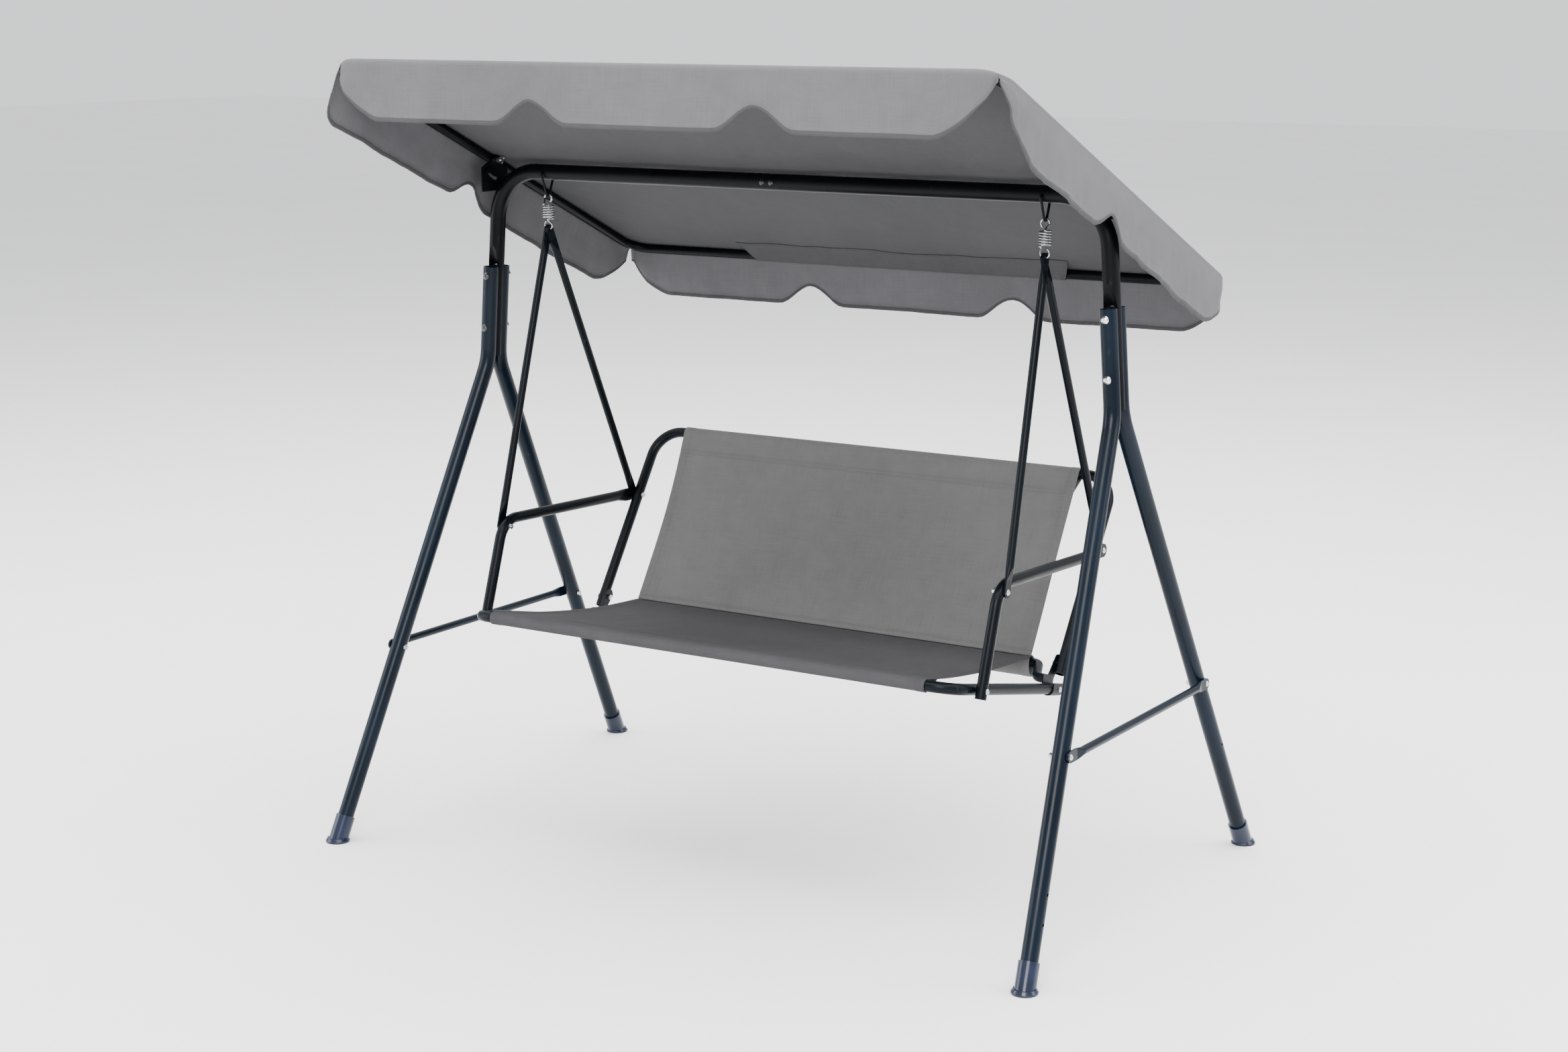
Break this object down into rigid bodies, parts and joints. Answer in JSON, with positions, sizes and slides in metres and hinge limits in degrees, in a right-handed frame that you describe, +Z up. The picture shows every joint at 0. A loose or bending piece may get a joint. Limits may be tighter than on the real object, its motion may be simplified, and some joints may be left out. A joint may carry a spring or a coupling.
{
  "type": "canopy swing seat",
  "caption": "Garden swing seat: bent tube A-frame stand, spring-hung sling bench with a back and tube armrests, and a tilting fabric canopy with scalloped edges.",
  "frame": {"origin": "floor level, under the middle of the object's bounding box", "axes": "+Z up, front of the bench towards -Y, +X to the right seen from the front"},
  "size_m": [1.65, 1.0408, 1.6134],
  "materials": {
    "frame_paint": "semi-gloss powder coat, near-black navy",
    "black_wire": "black coated wire",
    "foot_plastic": "glossy dark navy moulding",
    "zinc_hardware": "bright zinc plating",
    "spring_steel": "bright plated wire",
    "sling_fabric": "coated woven mesh, matte grey",
    "canopy_fabric": "coated woven polyester, matte grey"
  },
  "bodies": {
    "stand": {"left_front_leg": "frame_paint", "left_rear_leg": "frame_paint", "right_front_leg": "frame_paint", "right_rear_leg": "frame_paint", "left_front_foot": "foot_plastic", "left_rear_foot": "foot_plastic", "right_front_foot": "foot_plastic", "right_rear_foot": "foot_plastic", "left_leg_brace": "frame_paint", "right_leg_brace": "frame_paint", "top_bar_left": "frame_paint", "top_bar_right": "frame_paint", "leg_bolts": "zinc_hardware", "leg_nuts": "zinc_hardware", "brace_bolts": "zinc_hardware", "brace_nuts": "zinc_hardware", "bar_joint_bolts": "zinc_hardware", "left_tilt_plate": "frame_paint", "right_tilt_plate": "frame_paint", "left_hanging_link": "black_wire", "right_hanging_link": "black_wire"},
    "spring_pair": {"left_spring": "spring_steel", "right_spring": "spring_steel"},
    "bench": {"left_front_hanger": "frame_paint", "left_rear_hanger": "frame_paint", "right_front_hanger": "frame_paint", "right_rear_hanger": "frame_paint", "left_armrest": "frame_paint", "right_armrest": "frame_paint", "seat_frame": "frame_paint", "back_frame": "frame_paint", "seat_cross_tube": "frame_paint", "left_seat_bracket": "frame_paint", "right_seat_bracket": "frame_paint", "seat_bolts": "zinc_hardware", "seat_nuts": "zinc_hardware", "seat_sling": "sling_fabric", "back_sling": "sling_fabric"},
    "canopy": {"canopy_front_tube": "frame_paint", "canopy_rear_tube": "frame_paint", "canopy_left_tube": "frame_paint", "canopy_right_tube": "frame_paint", "left_canopy_bracket": "frame_paint", "right_canopy_bracket": "frame_paint", "left_pivot_bolt": "zinc_hardware", "right_pivot_bolt": "zinc_hardware", "canopy_fabric": "canopy_fabric"},
    "left_wing_nut_body": {"left_wing_nut": "zinc_hardware"},
    "right_wing_nut_body": {"right_wing_nut": "zinc_hardware"}
  },
  "joints": [
    {"name": "bench_swing", "type": "hinge", "parent": "stand", "child": "spring_pair", "pos_m": [0, -0.028, 1.31923], "axis": [1, 0, 0], "range_deg": [-22, 22]},
    {"name": "spring_stretch", "type": "slide", "parent": "spring_pair", "child": "bench", "axis": [0, 0, -1], "range_m": [0, 0.02], "stiffness_N_per_m": 60000, "springref_m": -0.003, "deforming": ["left_spring", "right_spring"]},
    {"name": "canopy_tilt", "type": "hinge", "parent": "stand", "child": "canopy", "pos_m": [0, -0.035, 1.386], "axis": [1, 0, 0], "range_deg": [-6, 48]},
    {"name": "left_wing_nut_turn", "type": "hinge", "parent": "canopy", "child": "left_wing_nut_body", "pos_m": [-0.7, -0.035, 1.386], "axis": [1, 0, 0], "continuous": true},
    {"name": "right_wing_nut_turn", "type": "hinge", "parent": "canopy", "child": "right_wing_nut_body", "pos_m": [0.7, -0.035, 1.386], "axis": [1, 0, 0], "continuous": true}
  ]
}
